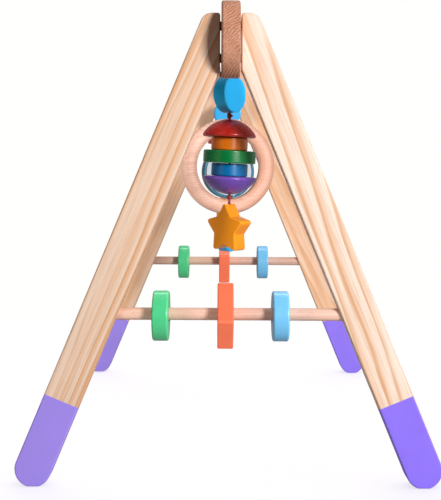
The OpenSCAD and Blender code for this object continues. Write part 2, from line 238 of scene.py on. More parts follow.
def prism(outline, depth):
    """An outline in X and Y, given counterclockwise, drawn out along Z about the middle."""
    count = len(outline)
    verts = [(x, y, side * depth / 2) for side in (-1, 1) for x, y in outline]
    faces = [tuple(reversed(range(count))), tuple(range(count, 2 * count))]
    faces += [(k, (k + 1) % count, (k + 1) % count + count, k + count) for k in range(count)]
    return verts, faces


def path_frames(path, closed):
    """Points of a path with two directions across it at each, without twist."""
    points = [Vector(p) for p in path]
    count = len(points)
    frames = []
    across = None
    for k, point in enumerate(points):
        before = points[k - 1] if closed or k > 0 else point
        after = points[(k + 1) % count] if closed or k < count - 1 else point
        tangent = (after - before).normalized()
        if across is None:
            across = tangent.orthogonal().normalized()
        across = (across - tangent * across.dot(tangent)).normalized()
        frames.append((point, across.copy(), tangent.cross(across)))
    return frames


def tube(path, radius, closed=False, sides=8):
    """A round tube along a path."""
    verts = []
    for point, across, other in path_frames(path, closed):
        for side in range(sides):
            angle = 2 * math.pi * side / sides
            verts.append(point + radius * (math.cos(angle) * across + math.sin(angle) * other))
    count = len(path)
    faces = []
    for k in range(count if closed else count - 1):
        here, there = k * sides, (k + 1) % count * sides
        for side in range(sides):
            after = (side + 1) % sides
            faces.append((here + side, here + after, there + after, there + side))
    if not closed:
        faces.append(tuple(reversed(range(sides))))
        faces.append(tuple(range((count - 1) * sides, count * sides)))
    return verts, faces


def joined(shapes):
    """Several shapes as one."""
    verts, faces = [], []
    for shape_verts, shape_faces in shapes:
        start = len(verts)
        verts += list(shape_verts)
        faces += [tuple(start + index for index in face) for face in shape_faces]
    return verts, faces


def moved(shape, matrix):
    """A shape in another place."""
    return [matrix @ Vector(v) for v in shape[0]], shape[1]


def twisted(path, radius, turns, closed=False):
    """Three strands laid round a path, as in a cord of that radius."""
    strand = 0.54 * radius
    lay = radius - strand
    frames = path_frames(path, closed)
    shapes = []
    for number in range(3):
        centres = []
        for k, (point, across, other) in enumerate(frames):
            angle = 2 * math.pi * (number / 3 + turns * k / (len(frames) - (0 if closed else 1)))
            centres.append(point + lay * (math.cos(angle) * across + math.sin(angle) * other))
        shapes.append(tube(centres, strand, closed))
    return joined(shapes)


def straight_cord(x, y, high, low):
    """Twisted cord from one height down to another."""
    length = high - low
    steps = max(2, round(length / (0.6 * MM)))
    path = [(x, y, high - length * step / steps) for step in range(steps + 1)]
    return twisted(path, CORD_RADIUS, length / CORD_LAY)


def cord_knot(centre, radius):
    """An overhand knot pulled tight round a cord: a trefoil whose overall radius is radius."""
    scale = radius / 4
    path = []
    for step in range(72):
        t = 2 * math.pi * step / 72
        reach = scale * (2 + math.cos(3 * t))
        place = (reach * math.cos(2 * t), reach * math.sin(2 * t), 1.5 * scale * math.sin(3 * t))
        path.append(Vector(centre) + Vector(place))
    return twisted(path, 1.15 * scale, 5, closed=True)


def cord_loop(centre, radius):
    """A ring of cord round the top bar, which runs along Y."""
    path = []
    for step in range(90):
        angle = 2 * math.pi * step / 90
        path.append(Vector(centre) + radius * Vector((math.cos(angle), 0, math.sin(angle))))
    return twisted(path, CORD_RADIUS, 5, closed=True)


# ---------------------------------------------------------------- objects


def solid(name, shape, matrix=Matrix()):
    """A new object from a shape, in place in the row's frame."""
    mesh = bpy.data.meshes.new(name)
    mesh.from_pydata([tuple(matrix @ Vector(v)) for v in shape[0]], [], shape[1])
    mesh.validate()
    thing = bpy.data.objects.new(name, mesh)
    bpy.context.scene.collection.objects.link(thing)
    return thing


def soften(thing, edge, steps=5):
    """Rounds the edges round a prism's two flat sides."""
    work = bmesh.new()
    work.from_mesh(thing.data)
    ends = sorted(work.faces, key=lambda face: len(face.verts))[-2:]
    rims = {rim for face in ends for rim in face.edges}
    bmesh.ops.bevel(work, geom=list(rims), offset=edge, offset_type="OFFSET", segments=steps,
                    profile=0.5, affect="EDGES", clamp_overlap=True)
    work.to_mesh(thing.data)
    work.free()
    return thing


def carve(thing, *cutters):
    """Cuts closed shapes out of an object."""
    for number, shape in enumerate(cutters):
        cutter = solid(f"cutter_{number}", shape)
        cut = thing.modifiers.new("cut", "BOOLEAN")
        cut.operation = "DIFFERENCE"
        cut.solver = "EXACT"
        cut.object = cutter
        bpy.context.view_layer.update()
        whole = thing.evaluated_get(bpy.context.evaluated_depsgraph_get())
        mesh = bpy.data.meshes.new_from_object(whole)
        thing.modifiers.clear()
        thing.data = mesh
        bpy.data.objects.remove(cutter)
    return thing


def mark_edges(mesh):
    """Shades smooth with sharp creases, and stores how tightly the surface turns at each vertex."""
    crease = math.radians(38)
    tight = 2.4 * MM
    work = bmesh.new()
    work.from_mesh(mesh)
    work.normal_update()
    turning = [0.0] * len(work.verts)
    middles = {face.index: face.calc_center_median() for face in work.faces}
    for rim in work.edges:
        if len(rim.link_faces) != 2:
            continue
        first, second = rim.link_faces
        angle = rim.calc_face_angle(0.0)
        rim.smooth = angle < crease
        span = max((middles[first.index] - middles[second.index]).length, 0.1 * MM)
        for vert in rim.verts:
            turning[vert.index] = max(turning[vert.index], min(1.0, angle / span * tight))
    for face in work.faces:
        face.smooth = True
    work.to_mesh(mesh)
    work.free()
    store_value(mesh, "edge", turning)


def store_grain(mesh, along, across, pith):
    """Stores each vertex's place in the wood: along the grain, and across it from the pith."""
    along = along.normalized()
    across = (across - along * across.dot(along)).normalized()
    axes = np.array((along, across, along.cross(across))).T
    points = np.empty(len(mesh.vertices) * 3)
    mesh.vertices.foreach_get("co", points)
    places = (points.reshape(-1, 3) - np.array(pith)) @ axes
    stored = mesh.attributes.new("grain", "FLOAT_VECTOR", "POINT")
    stored.data.foreach_set("vector", places.astype(np.float32).ravel())


def store_value(mesh, name, values):
    """Stores a number at each vertex."""
    stored = mesh.attributes.new(name, "FLOAT", "POINT")
    stored.data.foreach_set("value", np.broadcast_to(np.float32(values), len(mesh.vertices)))


def finish_piece(thing, nodes, along, across, pith, tone=0.0):
    """Gives a piece its surface data and its material, and puts it in the place of CAD nodes."""
    mark_edges(thing.data)
    store_grain(thing.data, along, across, pith)
    # The tone is painted shade on the pieces that have one: it darkens and warms their wood.
    store_value(thing.data, "tone", tone)
    slot = slot_of(nodes[0])
    thing.data.materials.clear()
    thing.data.materials.append(MATERIALS[slot])
    level = thing.modifiers.new("level_normals", "WEIGHTED_NORMAL")
    level.keep_sharp = True
    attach(thing, frame["nodes"][nodes[0]]["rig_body"])
    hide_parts(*nodes)
    return thing


# ---------------------------------------------------------------- materials


def linear(code):
    """A screen colour such as F2D8B8 as linear red, green, blue and alpha."""
    parts = (int(code[k:k + 2], 16) / 255 for k in (0, 2, 4))
    return tuple(p / 12.92 if p <= 0.04045 else ((p + 0.055) / 1.055) ** 2.4 for p in parts) + (1.0,)


class Nodes:
    """A node tree, with short calls for the nodes that the materials share."""

    def __init__(self, tree):
        self.tree = tree
        tree.nodes.clear()

    def add(self, kind, inputs=None, **settings):
        node = self.tree.nodes.new(kind)
        for key, value in settings.items():
            setattr(node, key, value)
        for key, value in (inputs or {}).items():
            if isinstance(value, bpy.types.NodeSocket):
                self.tree.links.new(value, node.inputs[key])
            else:
                node.inputs[key].default_value = value
        return node

    def math(self, operation, a, b=0.0):
        return self.add("ShaderNodeMath", {0: a, 1: b}, operation=operation).outputs[0]

    def attribute(self, name, output):
        return self.add("ShaderNodeAttribute", attribute_name=name).outputs[output]

    def noise(self, place, cycles, detail=2.0):
        """Noise from 0 to 1, with its cycles per metre along each axis."""
        scaled = self.add("ShaderNodeVectorMath", {0: place, 1: cycles}, operation="MULTIPLY").outputs[0]
        return self.add("ShaderNodeTexNoise", {"Vector": scaled, "Scale": 1.0, "Detail": detail}).outputs[0]

    def span(self, value, low, high, to_low=0.0, to_high=1.0):
        """Value moved from one span to another, smoothly and within its limits."""
        inputs = {0: value, 1: low, 2: high, 3: to_low, 4: to_high}
        return self.add("ShaderNodeMapRange", inputs, interpolation_type="SMOOTHSTEP").outputs[0]

    def ramp(self, value, stops):
        """Value looked up in (place, level) stops."""
        node = self.add("ShaderNodeValToRGB", {0: value})
        elements = node.color_ramp.elements
        while len(elements) < len(stops):
            elements.new(0.5)
        for element, (place, level) in zip(elements, stops):
            element.position = place
            element.color = (level, level, level, 1.0)
        return node.outputs[0]

    def mix(self, factor, a, b):
        inputs = {0: factor, 6: a, 7: b}
        return self.add("ShaderNodeMix", inputs, data_type="RGBA", clamp_factor=True).outputs[2]

    def blend(self, factor, a, b):
        inputs = {0: factor, 2: a, 3: b}
        return self.add("ShaderNodeMix", inputs, data_type="FLOAT", clamp_factor=True).outputs[0]

    def surface(self, colour, roughness, height, depth, **more):
        """A principled surface with bump of that depth."""
        bump = self.add("ShaderNodeBump", {"Height": height, "Distance": depth, "Strength": 0.8})
        inputs = {"Base Color": colour, "Roughness": roughness, "Normal": bump.outputs[0]}
        inputs.update(more)
        return self.add("ShaderNodeBsdfPrincipled", inputs).outputs[0]

    def output(self, shader):
        self.add("ShaderNodeOutputMaterial", {"Surface": shader})


def material(name):
    """A new material and its nodes."""
    made = bpy.data.materials.new(name)
    made.use_nodes = True
    return made, Nodes(made.node_tree)


def wood_layers(nodes, light, dark, warm, pitch, lines, flecks, waves):
    """Colour, roughness and height of bare wood, from growth rings round the pith and fibres along it.

    Pitch is the rings' spacing, and lines and flecks are how strongly late wood and pores show.
    Waves are the rings' wander: its cycles per metre along and across the grain, and its amount in rings.
    """
    grain = nodes.attribute("grain", "Vector")
    split = nodes.add("ShaderNodeSeparateXYZ", {0: grain}).outputs
    squares = [nodes.math("MULTIPLY", split[axis], split[axis]) for axis in (1, 2)]
    rings = nodes.math("DIVIDE", nodes.math("SQRT", nodes.math("ADD", *squares)), pitch)
    # Rings wander in slow waves that differ from wood to wood, and in quick ones that all share
    slow = nodes.noise(grain, (waves[0], waves[1], waves[1]), 2.0)
    quick = nodes.noise(grain, (1.3, 95, 40), 2.0)
    rings = nodes.math("ADD", rings, nodes.math("MULTIPLY", slow, waves[2]))
    rings = nodes.math("ADD", rings, nodes.math("MULTIPLY", quick, 0.9))
    # Each ring darkens slowly towards its late wood and starts again abruptly
    place = nodes.math("FRACT", rings)
    late = nodes.ramp(place, [(0.0, 0.0), (0.7, 0.12), (0.84, 1.0), (0.93, 0.35), (1.0, 0.0)])
    rise = nodes.ramp(place, [(0.0, 0.0), (0.3, 0.12), (0.8, 0.9), (0.9, 1.0), (1.0, 0.0)])
    strength = nodes.span(nodes.noise(grain, (1.6, 60, 25), 1.0), 0.32, 0.6, 0.15, 1.0)
    # Fibres, pores and streaks run along the grain at scales of their own
    fibres = nodes.noise(grain, (14, 560, 560), 3.0)
    fine = nodes.noise(grain, (70, 2400, 2400), 2.0)
    streaks = nodes.noise(grain, (1.3, 80, 50), 3.0)
    pores = nodes.span(nodes.noise(grain, (260, 2600, 2600), 1.0), 0.64, 0.72)
    # The streaks vary the tone at random; the piece's stored tone adds painted shade on top of them.
    tone = nodes.math("ADD", nodes.span(streaks, 0.42, 0.7, 0.0, 0.4), nodes.attribute("tone", "Fac"))
    warmth = nodes.math("MULTIPLY", nodes.math("MULTIPLY", rise, strength), 1.8 * lines)
    tone = nodes.math("ADD", tone, warmth)
    colour = nodes.mix(tone, light, warm)
    # Tight edges turn darker: painted shade along the rounded edges.
    colour = nodes.mix(nodes.math("MULTIPLY", nodes.attribute("edge", "Fac"), 0.3), colour, dark)
    colour = nodes.mix(nodes.math("MULTIPLY", nodes.math("MULTIPLY", late, strength), lines), colour, dark)
    colour = nodes.mix(nodes.span(fibres, 0.42, 0.8, 0.0, 0.42), colour, dark)
    colour = nodes.mix(nodes.math("MULTIPLY", pores, flecks), colour, dark)
    roughness = nodes.span(fibres, 0.2, 0.8, 0.42, 0.58)
    height = nodes.blend(0.5, nodes.blend(0.35, fibres, fine), nodes.math("SUBTRACT", 1.0, pores))
    return colour, roughness, height


def paint_layers(nodes, colour, gloss):
    """Colour, roughness and height of paint on wood: thinner on the edges, over faint grain."""
    grain = nodes.attribute("grain", "Vector")
    edge = nodes.attribute("edge", "Fac")
    clouds = nodes.noise(grain, (28, 28, 28), 3.0)
    under = nodes.noise(grain, (30, 520, 520), 2.0)
    peel = nodes.noise(grain, (620, 620, 620), 1.0)
    scuffs = nodes.noise(grain, (160, 160, 160), 4.0)
    deep = tuple(c * 0.8 for c in colour[:3]) + (1.0,)
    thin = tuple(min(1.0, c * 1.25 + 0.03) for c in colour[:3]) + (1.0,)
    painted = nodes.mix(nodes.span(clouds, 0.35, 0.7, 0.0, 0.4), colour, deep)
    painted = nodes.mix(nodes.span(under, 0.55, 0.85, 0.0, 0.15), painted, thin)
    worn = nodes.math("MULTIPLY", edge, nodes.span(scuffs, 0.3, 0.65, 0.1, 0.35))
    painted = nodes.mix(worn, painted, thin)
    roughness = nodes.span(scuffs, 0.3, 0.75, gloss, gloss + 0.12)
    height = nodes.blend(0.4, under, peel)
    return painted, roughness, height


def wood_material(name, light, dark, warm, pitch, lines, flecks, waves):
    """Bare wood under thin oil or lacquer."""
    made, nodes = material(name)
    layers = wood_layers(nodes, linear(light), linear(dark), linear(warm), pitch, lines, flecks, waves)
    more = {"Coat Weight": 0.1, "Coat Roughness": 0.35}
    nodes.output(nodes.surface(*layers, 0.12 * MM, **more))
    return made


def paint_material(name, code, gloss, coat):
    """Painted wood."""
    made, nodes = material(name)
    colour = linear(code)
    layers = paint_layers(nodes, colour, gloss)
    more = {"Specular IOR Level": 0.35, "Coat Weight": coat, "Coat Roughness": 0.12}
    nodes.output(nodes.surface(*layers, 0.05 * MM, **more))
    return made


def leg_material(name):
    """Pine whose lower end is dipped in paint, up to where the paint attribute changes sign."""
    made, nodes = material(name)
    wood = wood_layers(
        nodes, linear("F8E6D6"), linear("C58E62"), linear("EDB68A"),
        pitch=9 * MM, lines=0.48, flecks=0.12, waves=(2.0, 19, 3.2))
    paint = paint_layers(nodes, linear("8D70F5"), 0.42)
    bleed = nodes.noise(nodes.attribute("grain", "Vector"), (300, 900, 900), 2.0)
    bleed = nodes.span(bleed, 0.0, 1.0, -0.35 * MM, 0.35 * MM)
    beyond = nodes.math("ADD", nodes.attribute("paint", "Fac"), bleed)
    dipped = nodes.span(beyond, 0.15 * MM, -0.15 * MM)
    # Pale mixes in a lighter copy of the same paint on some legs: painted light.
    pale = nodes.math("MULTIPLY", nodes.attribute("pale", "Fac"), 0.5)
    coated = nodes.mix(pale, paint[0], linear("BCA6F4"))
    mixed = nodes.mix(dipped, wood[0], coated)
    roughness = nodes.blend(dipped, wood[1], paint[1])
    height = nodes.blend(dipped, wood[2], nodes.math("ADD", paint[2], 1.2))
    more = {"Coat Weight": 0.12, "Coat Roughness": 0.4}
    nodes.output(nodes.surface(mixed, roughness, height, 0.1 * MM, **more))
    return made


def cord_material(name):
    """Twisted cotton."""
    made, nodes = material(name)
    place = nodes.add("ShaderNodeTexCoord").outputs["Object"]
    fluff = nodes.noise(place, (1900, 1900, 1900), 3.0)
    tone = nodes.noise(place, (260, 260, 260), 2.0)
    colour = nodes.mix(nodes.span(fluff, 0.3, 0.75), linear("6E130D"), linear("B83422"))
    colour = nodes.mix(nodes.span(tone, 0.4, 0.7, 0.0, 0.35), colour, linear("D0573C"))
    more = {"Sheen Weight": 0.35, "Sheen Roughness": 0.5}
    nodes.output(nodes.surface(colour, nodes.span(fluff, 0.2, 0.8, 0.7, 0.9), fluff, 0.15 * MM, **more))
    return made


def steel_material(name):
    """Zinc-plated steel with a fine brushed grain."""
    made, nodes = material(name)
    grain = nodes.attribute("grain", "Vector")
    brushed = nodes.noise(grain, (4000, 300, 300), 2.0)
    tone = nodes.noise(grain, (120, 120, 120), 2.0)
    colour = nodes.mix(tone, linear("A9ADB3"), linear("CDD0D4"))
    roughness = nodes.span(brushed, 0.2, 0.8, 0.24, 0.42)
    nodes.output(nodes.surface(colour, roughness, brushed, 0.02 * MM, Metallic=1.0))
    return made


def spacer_material(name):
    """Dark moulded nylon."""
    made, nodes = material(name)
    grain = nodes.attribute("grain", "Vector")
    moulded = nodes.noise(grain, (900, 900, 900), 2.0)
    colour = nodes.mix(moulded, linear("5A3B2A"), linear("7A5540"))
    nodes.output(nodes.surface(colour, nodes.span(moulded, 0.2, 0.8, 0.45, 0.6), moulded, 0.05 * MM))
    return made


def mirror_material(name):
    """Acrylic mirror with faint wipe marks."""
    made, nodes = material(name)
    grain = nodes.attribute("grain", "Vector")
    wipes = nodes.noise(grain, (40, 900, 900), 3.0)
    clouds = nodes.noise(grain, (30, 30, 30), 2.0)
    colour = nodes.mix(clouds, linear("D5E3EE"), linear("EAF2F8"))
    roughness = nodes.span(wipes, 0.4, 0.8, 0.02, 0.09)
    nodes.output(nodes.surface(colour, roughness, clouds, 0.02 * MM, Metallic=1.0))
    return made


MATERIALS = {
    "pine": leg_material("pine"),
    "beech": wood_material(
        "beech", "F2C8B4", "C08468", "DCA68E", pitch=3.2 * MM, lines=0.26, flecks=0.6, waves=(8, 40, 1.6)),
    "dark_beech": wood_material(
        "dark_beech", "E2A486", "6E3620", "C88664", pitch=2.8 * MM, lines=0.72, flecks=0.5,
        waves=(20, 90, 2.6)),
    "slider_green": paint_material("slider_green", "54DA92", 0.3, 0.35),
    "slider_red": paint_material("slider_red", "FF7852", 0.34, 0.3),
    "slider_blue": paint_material("slider_blue", "7ACDFF", 0.3, 0.35),
    "sky_blue": paint_material("sky_blue", "02B8FF", 0.28, 0.35),
    "dome_red": paint_material("dome_red", "AE1C12", 0.24, 0.4),
    "stack_orange": paint_material("stack_orange", "DE7208", 0.24, 0.4),
    "stack_green": paint_material("stack_green", "007638", 0.24, 0.4),
    "stack_blue": paint_material("stack_blue", "0070AE", 0.24, 0.4),
    "dome_purple": paint_material("dome_purple", "7048B0", 0.24, 0.4),
    "star_amber": paint_material("star_amber", "FF9A0A", 0.3, 0.35),
    "mirror_teal": paint_material("mirror_teal", "186A88", 0.26, 0.5),
    "cord": cord_material("cord"),
    "steel": steel_material("steel"),
    "spacer": spacer_material("spacer"),
    "mirror": mirror_material("mirror"),
}


# ---------------------------------------------------------------- the A-frames

along_x = Matrix.Rotation(math.radians(90), 4, "Y")
spacer_low, spacer_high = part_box("hub_spacers")
back_depth = sum(corner.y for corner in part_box("back_left_leg")) / 2
frame_depths = (-back_depth, back_depth)
spacer_r = spacer_high.y - back_depth
bolt_heights = (spacer_low.z + spacer_r, spacer_high.z - spacer_r)
bolt_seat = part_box("hub_sleeve_nuts")[1].x - HEAD_HEIGHT


def leg_cutters(node, side):
    """Shapes of a leg's bolt pockets and its crossbar socket; side is 1 on the right."""
    low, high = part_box(node)
    depth = (low.y + high.y) / 2
    rails = "front_crossbar" if depth < 0 else "back_crossbar"
    rail_low, rail_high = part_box(rails)
    outward = Matrix.Scale(side, 4, Vector((1, 0, 0)))
    past_board = 70 * MM
    cutters = []
    for height in bolt_heights:
        section = [(BOLT_HOLE, 0), (BOLT_HOLE, bolt_seat)]
        section += [(BOLT_POCKET, bolt_seat), (BOLT_POCKET, past_board)]
        place = Matrix.Translation((0, depth, height)) @ outward @ along_x
        cutters.append(moved(lathe(section, closed=False, steps=FINE_STEPS), place))
    clearance = 0.1 * MM
    radius = (rail_high.z - rail_low.z) / 2 + clearance
    section = [(radius, 0), (radius, rail_high.x + 2 * clearance)]
    place = Matrix.Translation((0, depth, (rail_low.z + rail_high.z) / 2)) @ outward @ along_x
    cutters.append(moved(lathe(section, closed=False, steps=FINE_STEPS), place))
    if side < 0:
        cutters = [(verts, [tuple(reversed(face)) for face in faces]) for verts, faces in cutters]
    return cutters


def build_leg(node, side, pith, lean, along, tone, pale):
    """A leg board. Side is 1 on the right.

    The pith's place and lean (across, in depth) and how far along the log the board was cut set its grain.
    Tone warms and darkens the wood: painted shade on the legs that the lamps light less. Pale lightens the
    paint: a painted lighter copy of the same paint.
    """
    matrix, size = own_frame(node, FORWARD)
    outline = flat_outline(node, matrix, size.z / 2)
    thing = soften(solid(node + "_board", prism(outline, size.z), matrix), LEG_EDGE)
    carve(thing, *leg_cutters(node, side))
    corners = [matrix @ Vector((x, y, 0)) for x, y in outline]
    runs = [after - before for before, after in zip(corners, corners[1:] + corners[:1])]
    axis = max(runs, key=lambda run: run.length).normalized()
    if axis.z < 0:
        axis.negate()
    across = axis.cross(FORWARD).normalized()
    places = [corner.dot(across) for corner in corners]
    middle = across * (min(places) + max(places)) / 2 + FORWARD * corners[0].dot(FORWARD)
    foot = middle - axis * (middle.z / axis.z)
    tilted = (axis + across * lean[0] + FORWARD * lean[1]).normalized()
    start = foot + across * pith[0] + FORWARD * pith[1] - axis * along
    finish_piece(thing, [node], tilted, across, start, tone)
    points = np.array([vert.co for vert in thing.data.vertices])
    beyond = (points - np.array(foot)) @ np.array(axis) - PAINT_HEIGHT / axis.z
    store_value(thing.data, "paint", beyond)
    # Pale lightens the paint on this leg: painted light, a lighter copy of one paint.
    store_value(thing.data, "pale", pale)


# The tones on the front left and back legs are painted shade, and pale on the left legs is painted light.
build_leg("front_left_leg", -1, pith=(0.075, 0.02), lean=(0.012, 0.0), along=0.0, tone=0.3, pale=1.0)
build_leg("front_right_leg", 1, pith=(0.006, -0.05), lean=(0.015, 0.035), along=3.35, tone=0.0, pale=0.0)
build_leg("back_left_leg", -1, pith=(-0.06, 0.03), lean=(0.02, 0.01), along=5.3, tone=0.5, pale=1.0)
build_leg("back_right_leg", 1, pith=(-0.01, -0.04), lean=(-0.02, 0.05), along=7.7, tone=0.5, pale=0.1)


def build_hub(node):
    """A hub disc on edge, bored for its two bolts."""
    low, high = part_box(node)
    middle = (low + high) / 2
    place = Matrix.Translation(middle) @ along_x
    section = rounded_section(0, (high.z - low.z) / 2, high.x - low.x, HUB_EDGE)
    thing = solid(node + "_disc", lathe(section, closed=False), place)
    past_faces = high.x - low.x
    bore = lathe([(BOLT_HOLE, -past_faces), (BOLT_HOLE, past_faces)], closed=False, steps=FINE_STEPS)
    bores = [moved(bore, Matrix.Translation((0, middle.y, height)) @ along_x) for height in bolt_heights]
    carve(thing, *bores)
    finish_piece(thing, [node], Vector((0, 1, 0)), Vector((1, 0, 0.9)), middle + Vector((0.11, 0, -0.12)))


build_hub("front_hub")
build_hub("back_hub")


def fastener(shank, length):
    """A bolt or nut along Z: its shank from 0 up, then its head with a hexagonal socket."""
    top = length + HEAD_HEIGHT
    chamfer = 0.5 * MM
    under = 0.3 * MM
    crown = 0.9 * MM
    section = [(shank - chamfer, 0), (shank, chamfer), (shank, length), (BOLT_HEAD - under, length)]
    section += [(BOLT_HEAD, length + under)] + arc((BOLT_HEAD - crown, top - crown), crown, 0, 90, 4)
    body = solid("fastener", lathe(section, closed=False, steps=FINE_STEPS))
    hexagon = arc((0, 0), HEX_SOCKET, 0, 300, 5)
    carve(body, moved(prism(hexagon, 4 * MM), Matrix.Translation((0, 0, top))))
    shape = [vert.co.copy() for vert in body.data.vertices], [tuple(f.vertices) for f in body.data.polygons]
    bpy.data.objects.remove(body)
    return shape


def at_bolts(shape, turn):
    """A shape at each bolt, turned to run along X."""
    places = [Matrix.Translation((0, y, z)) @ turn for y in frame_depths for z in bolt_heights]
    return joined(moved(shape, place) for place in places)


def build_fasteners():
    """The bolts from the left, the sleeve nuts from the right, and the spacers between."""
    x_axis, start = Vector((1, 0, 0)), Vector()
    leftward = Matrix.Rotation(math.radians(-90), 4, "Y")
    low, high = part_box("hub_bolts")
    bolt = moved(fastener(BOLT_SHANK, high.x + bolt_seat), Matrix.Translation((0, 0, -high.x)))
    thing = solid("hub_bolts_set", at_bolts(bolt, leftward))
    finish_piece(thing, ["hub_bolts"], x_axis, UP, start)
    low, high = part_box("hub_sleeve_nuts")
    nut = moved(fastener(NUT_SLEEVE, bolt_seat - low.x), Matrix.Translation((0, 0, low.x)))
    thing = solid("hub_sleeve_nuts_set", at_bolts(nut, along_x))
    finish_piece(thing, ["hub_sleeve_nuts"], x_axis, UP, start)
    hub_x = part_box("front_hub")[1].x
    thickness = spacer_high.x - hub_x
    section = rounded_section(BOLT_HOLE, spacer_r, thickness, SPACER_EDGE, 0.3 * MM, steps=3)
    spacer = lathe(section, steps=FINE_STEPS)
    centre = hub_x + thickness / 2
    pair = joined(moved(spacer, Matrix.Translation((0, 0, side * centre))) for side in (-1, 1))
    thing = solid("hub_spacers_set", at_bolts(pair, along_x))
    finish_piece(thing, ["hub_spacers"], x_axis, UP, start)


build_fasteners()


def build_bar():
    """The top bar, with its tenons and the three grooves that hold the cords' loops."""
    low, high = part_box("top_bar")
    middle = (low + high) / 2
    radius = (high.z - low.z) / 2
    tenon = radius - 1 * MM
    chamfer = 0.6 * MM
    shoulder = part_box("back_hub")[0].y
    lip = 0.2 * MM
    lip_r = radius - lip
    groove_r = radius - 0.8 * MM
    groove_low = 1.7 * MM
    groove_high = 2 * MM + lip
    section = [(tenon - chamfer, low.y), (tenon, low.y + chamfer), (tenon, -shoulder), (radius, -shoulder)]
    for body in ("front_upper_cord", "middle_upper_cord", "back_upper_cord"):
        y = joint_of(body)["pos_m"][1]
        section += [(lip_r, y - groove_high), (groove_r, y - groove_low)]
        section += [(groove_r, y + groove_low), (lip_r, y + groove_high)]
        section += [(radius, y + groove_high + 0.3 * MM)]
    section += [(radius, shoulder), (tenon, shoulder), (tenon, high.y - chamfer), (tenon - chamfer, high.y)]
    along_y = Matrix.Rotation(math.radians(-90), 4, "X")
    place = Matrix.Translation((middle.x, 0, middle.z)) @ along_y
    thing = solid("top_bar_dowel", lathe(section, closed=False), place)
    finish_piece(thing, ["top_bar"], Vector((0, 1, 0)), Vector((1, 0, 0)), Vector((0.02, 0, 0.45)))


build_bar()


# ---------------------------------------------------------------- crossbars and sliders


def build_crossbar(node):
    """A crossbar dowel with eased ends."""
    low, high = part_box(node)
    middle = (low + high) / 2
    section = rounded_section(0, (high.z - low.z) / 2, high.x - low.x, DOWEL_EDGE, steps=3)
    thing = solid(node + "_dowel", lathe(section, closed=False), Matrix.Translation(middle) @ along_x)
    finish_piece(thing, [node], Vector((1, 0, 0)), UP, middle - Vector((0, 0.03, 0.02)))


def build_round_slider(node):
    """A round slider with rounded edges and an eased bore."""
    low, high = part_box(node)
    middle = (low + high) / 2
    section = rounded_section(SLIDER_BORE, (high.z - low.z) / 2, high.x - low.x, SLIDER_EDGE, BORE_EDGE)
    thing = solid(node + "_disc", lathe(section), Matrix.Translation(middle) @ along_x)
    finish_piece(thing, [node], Vector((0, 0.3, 1)), Vector((1, 0, 0)), middle + Vector((0.02, 0.01, 0.2)))


def build_square_slider(node):
    """A square slider with rounded corners and edges, turned as its CAD node is."""
    matrix, size = own_frame(node, Vector((-1, 0, 0)))
    local = (cad_points(node) - np.array(matrix.translation)) @ np.array(matrix.to_3x3())
    reaches = np.hypot(local[:, 0], local[:, 1])
    diagonal = reaches.max()
    tips = local[reaches > diagonal - 0.02 * MM]
    # The tips are quarter turns apart, so four times their angles point one way
    tip_angles = np.arctan2(tips[:, 1], tips[:, 0])
    first_corner = math.degrees(np.angle(np.mean(np.exp(4j * tip_angles)))) / 4
    reach = diagonal - BLOCK_CORNER
    outline = []
    for turn in range(4):
        angle = first_corner + 90 * turn
        place = (reach * math.cos(math.radians(angle)), reach * math.sin(math.radians(angle)))
        outline += arc(place, BLOCK_CORNER, angle - 45, angle + 45, 6)
    thing = soften(solid(node + "_block", prism(outline, size.z), matrix), BLOCK_EDGE)
    half = size.z / 2
    past_faces = half + 1 * MM
    mouth = SLIDER_BORE + BORE_EDGE
    section = [(mouth, -past_faces)] + arc((mouth, BORE_EDGE - half), BORE_EDGE, 270, 180, 4)
    section += arc((mouth, half - BORE_EDGE), BORE_EDGE, 180, 90, 4) + [(mouth, past_faces)]
    carve(thing, moved(lathe(section, closed=False), matrix))
    pith = matrix.translation + Vector((0, 0, 0.3))
    finish_piece(thing, [node], Vector((0, 1, 0.2)), Vector((1, 0, 0)), pith)


for end in ("front", "back"):
    build_crossbar(end + "_crossbar")
    build_round_slider(end + "_green_slider")
    build_round_slider(end + "_blue_slider")
    build_square_slider(end + "_red_slider")


# ---------------------------------------------------------------- pendants


def cord_bore(place, length):
    """A cord hole's shape, upright through a place."""
    hole = lathe([(CORD_HOLE, -length / 2), (CORD_HOLE, length / 2)], closed=False, steps=32)
    return moved(hole, Matrix.Translation(place))


def knot_recess(node):
    """Shape of the upright recess, open below, that hides the last knot of a node's pendant."""
    low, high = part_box(node)
    knot = cord_knots(node)[-1]
    over_knot = 3.1 * MM
    past_bottom = 1 * MM
    section = [(KNOT_RECESS, low.z - knot - past_bottom), (KNOT_RECESS, over_knot)]
    recess = lathe(section, closed=False, steps=FINE_STEPS)
    return moved(recess, Matrix.Translation(((low.x + high.x) / 2, (low.y + high.y) / 2, knot)))


def build_end_disc(node):
    """A small disc that hangs on edge, with a cord hole across it."""
    matrix, size = own_frame(node, FORWARD)
    section = rounded_section(0, size.y / 2, size.z, DISC_EDGE)
    thing = solid(node + "_disc", lathe(section, closed=False), matrix)
    cutters = [cord_bore(matrix.translation, 2 * size.y)]
    if "bottom" in node:
        cutters.append(knot_recess(node))
    carve(thing, *cutters)
    pith = matrix.translation + Vector((0.1, 0.1, 0))
    finish_piece(thing, [node], matrix.to_3x3() @ Vector((1, 0.4, 0)), UP, pith)


def build_bead(node):
    """A disc threaded flat on the cord."""
    matrix, size = own_frame(node, UP)
    section = rounded_section(CORD_HOLE, size.x / 2, size.z, DISC_EDGE, BORE_EDGE)
    thing = solid(node + "_bead", lathe(section), matrix)
    finish_piece(thing, [node], Vector((1, 0.4, 0)), UP, matrix.translation + Vector((0.1, 0.06, 0.1)))


